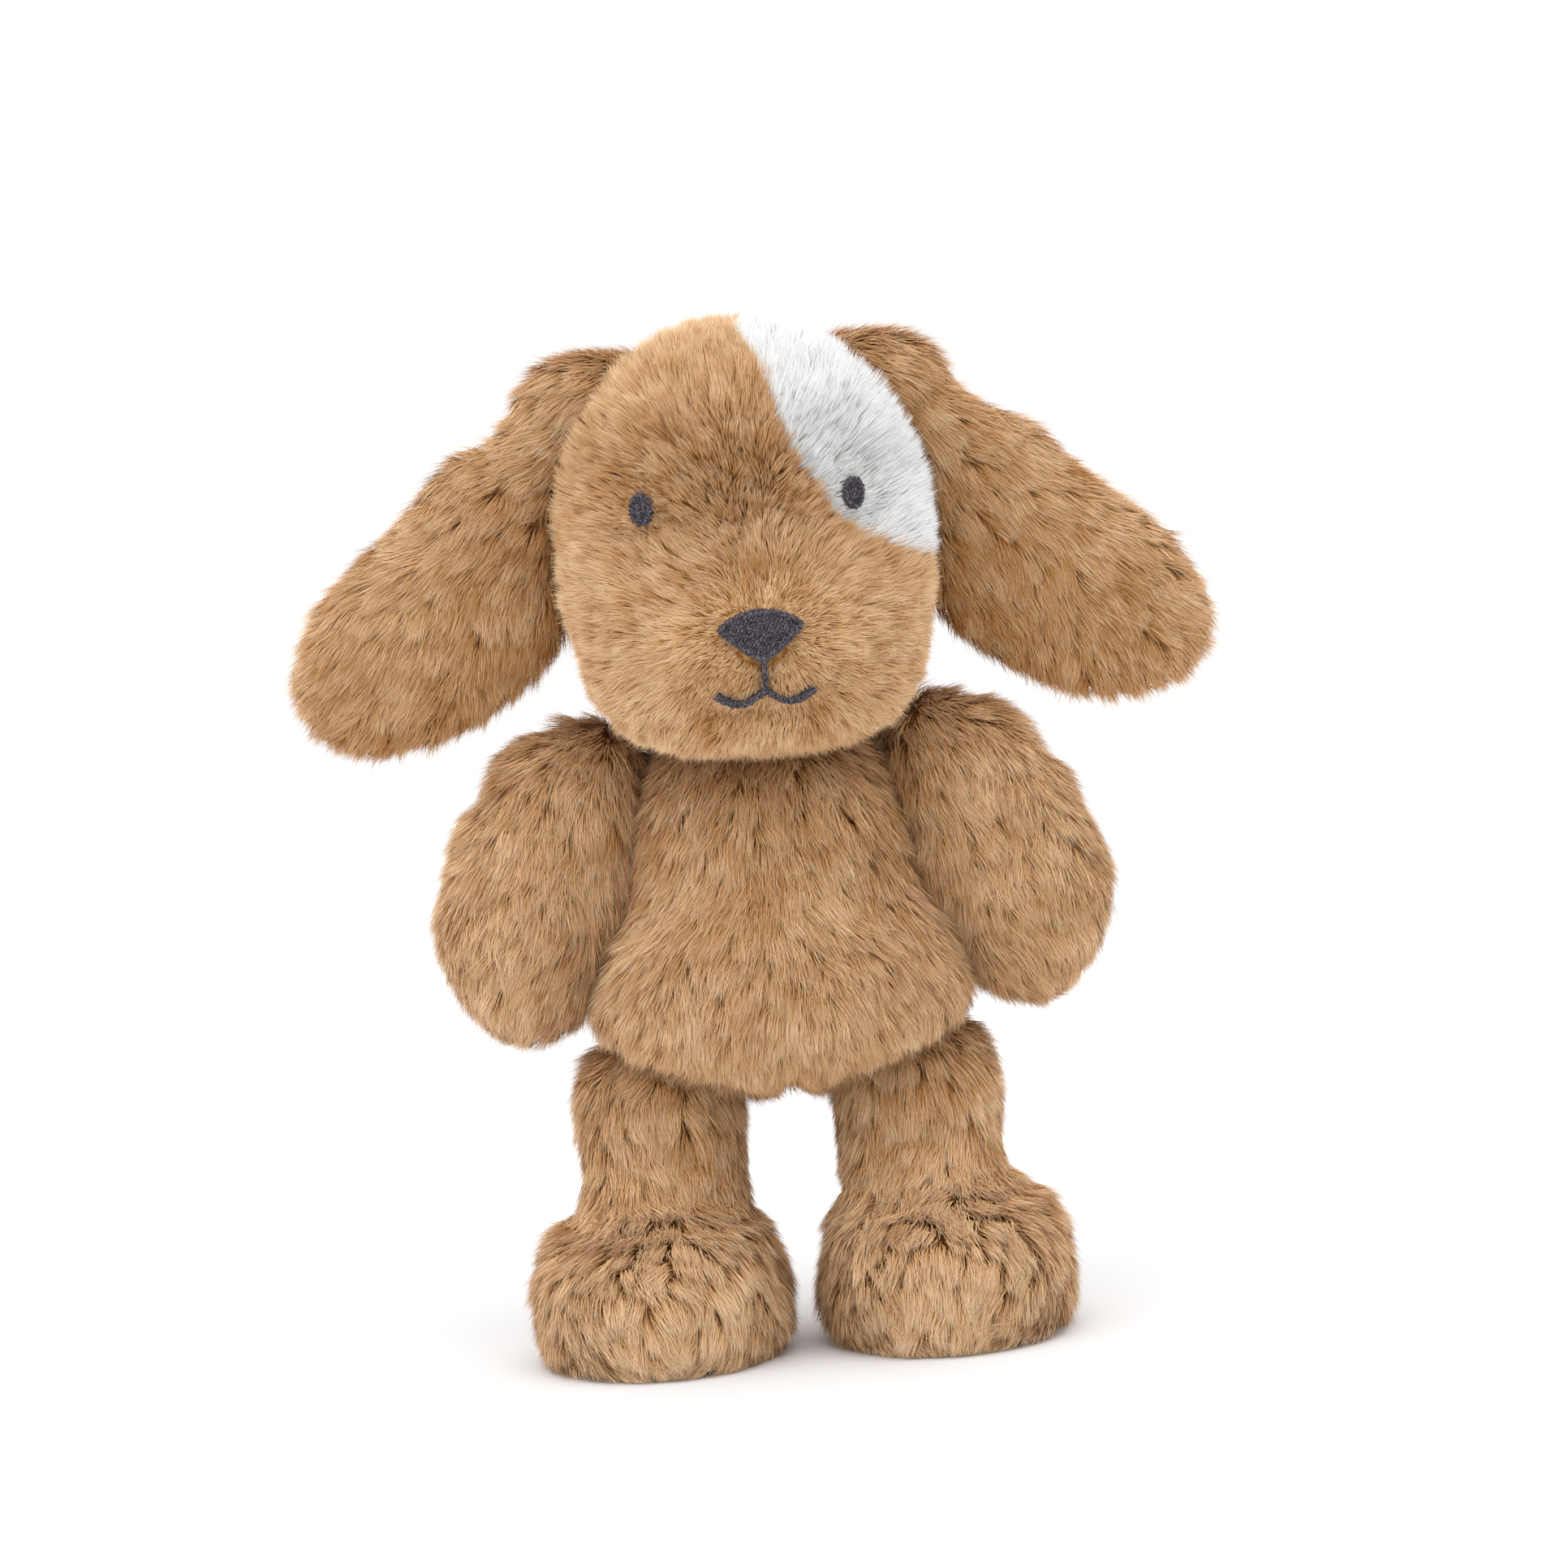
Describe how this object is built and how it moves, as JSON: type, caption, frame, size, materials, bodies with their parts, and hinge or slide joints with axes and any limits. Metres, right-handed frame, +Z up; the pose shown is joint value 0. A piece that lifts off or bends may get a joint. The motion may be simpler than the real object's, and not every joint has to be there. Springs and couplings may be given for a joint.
{
  "type": "plush dog",
  "caption": "Standing plush puppy with long drooping ears, a white eye patch, stitched face, mitten arms, flat feet, stub tail",
  "frame": {"origin": "on the floor, under the middle of the dog's bounding box", "axes": "+Z up, the dog faces -Y, +X to the dog's own left"},
  "size_m": [0.295, 0.163, 0.3305],
  "materials": {
    "tan_pile": "long tan polyester pile, brushed",
    "white_pile": "long white polyester pile, brushed",
    "embroidery_thread": "charcoal satin-stitch rayon thread",
    "fibre_filling": "white polyester fibre",
    "pouch_cloth": "plain-woven polyester bag cloth",
    "pellets": "loose polyethylene beads",
    "label_ribbon": "blank white satin ribbon"
  },
  "bodies": {
    "torso": {"torso_front_right": "tan_pile", "torso_front_left": "tan_pile", "torso_back_right": "tan_pile", "torso_back_left": "tan_pile", "torso_filling": "fibre_filling", "seat_pouch": "pouch_cloth", "seat_pellets": "pellets", "care_label": "label_ribbon"},
    "neck": {"neck_wad": "fibre_filling"},
    "head": {"chin": "tan_pile", "face_right": "tan_pile", "face_left": "tan_pile", "head_back_right": "tan_pile", "head_back_left": "tan_pile", "eye_patch": "white_pile", "head_filling": "fibre_filling", "eye_right": "embroidery_thread", "eye_left": "embroidery_thread", "nose": "embroidery_thread", "mouth": "embroidery_thread"},
    "ear_right": {"ear_right_front": "tan_pile", "ear_right_back": "tan_pile", "ear_right_wadding": "fibre_filling"},
    "arm_right": {"arm_right_outer": "tan_pile", "arm_right_inner": "tan_pile", "arm_right_filling": "fibre_filling"},
    "leg_right": {"leg_right_front": "tan_pile", "leg_right_back": "tan_pile", "foot_right": "tan_pile", "sole_right": "tan_pile", "leg_right_filling": "fibre_filling", "foot_right_pouch": "pouch_cloth", "foot_right_pellets": "pellets"},
    "ear_left": {"ear_left_front": "tan_pile", "ear_left_back": "tan_pile", "ear_left_wadding": "fibre_filling"},
    "arm_left": {"arm_left_outer": "tan_pile", "arm_left_inner": "tan_pile", "arm_left_filling": "fibre_filling"},
    "leg_left": {"leg_left_front": "tan_pile", "leg_left_back": "tan_pile", "foot_left": "tan_pile", "sole_left": "tan_pile", "leg_left_filling": "fibre_filling", "foot_left_pouch": "pouch_cloth", "foot_left_pellets": "pellets"},
    "tail": {"tail_right": "tan_pile", "tail_left": "tan_pile", "tail_filling": "fibre_filling"}
  },
  "joints": [
    {"name": "head_turn", "type": "hinge", "parent": "torso", "child": "neck", "pos_m": [0, -0.00425, 0.165], "axis": [0, 0, 1], "range_deg": [-16, 16], "stiffness_Nm_per_rad": 0.6},
    {"name": "head_nod", "type": "hinge", "parent": "neck", "child": "head", "pos_m": [0, -0.00425, 0.165], "axis": [-1, 0, 0], "range_deg": [-8, 8], "stiffness_Nm_per_rad": 3},
    {"name": "ear_right_lift", "type": "hinge", "parent": "head", "child": "ear_right", "pos_m": [-0.047, 0.00175, 0.309], "axis": [0, 1, 0], "range_deg": [0, 90], "stiffness_Nm_per_rad": 0.12},
    {"name": "ear_left_lift", "type": "hinge", "parent": "head", "child": "ear_left", "pos_m": [0.047, 0.00175, 0.309], "axis": [0, -1, 0], "range_deg": [0, 90], "stiffness_Nm_per_rad": 0.12},
    {"name": "arm_right_swing", "type": "hinge", "parent": "torso", "child": "arm_right", "pos_m": [-0.054, -0.00225, 0.189], "axis": [-1, 0, 0], "range_deg": [-40, 90], "stiffness_Nm_per_rad": 0.12},
    {"name": "arm_left_swing", "type": "hinge", "parent": "torso", "child": "arm_left", "pos_m": [0.054, -0.00225, 0.189], "axis": [-1, 0, 0], "range_deg": [-40, 90], "stiffness_Nm_per_rad": 0.12},
    {"name": "leg_right_swing", "type": "hinge", "parent": "torso", "child": "leg_right", "pos_m": [-0.0418, -0.00425, 0.078], "axis": [-1, 0, 0], "range_deg": [-25, 65], "stiffness_Nm_per_rad": 4},
    {"name": "leg_left_swing", "type": "hinge", "parent": "torso", "child": "leg_left", "pos_m": [0.0418, -0.00425, 0.078], "axis": [-1, 0, 0], "range_deg": [-25, 65], "stiffness_Nm_per_rad": 4},
    {"name": "tail_wag", "type": "hinge", "parent": "torso", "child": "tail", "pos_m": [0, 0.04075, 0.114], "axis": [0, 0, 1], "range_deg": [-30, 30], "stiffness_Nm_per_rad": 0.05}
  ]
}
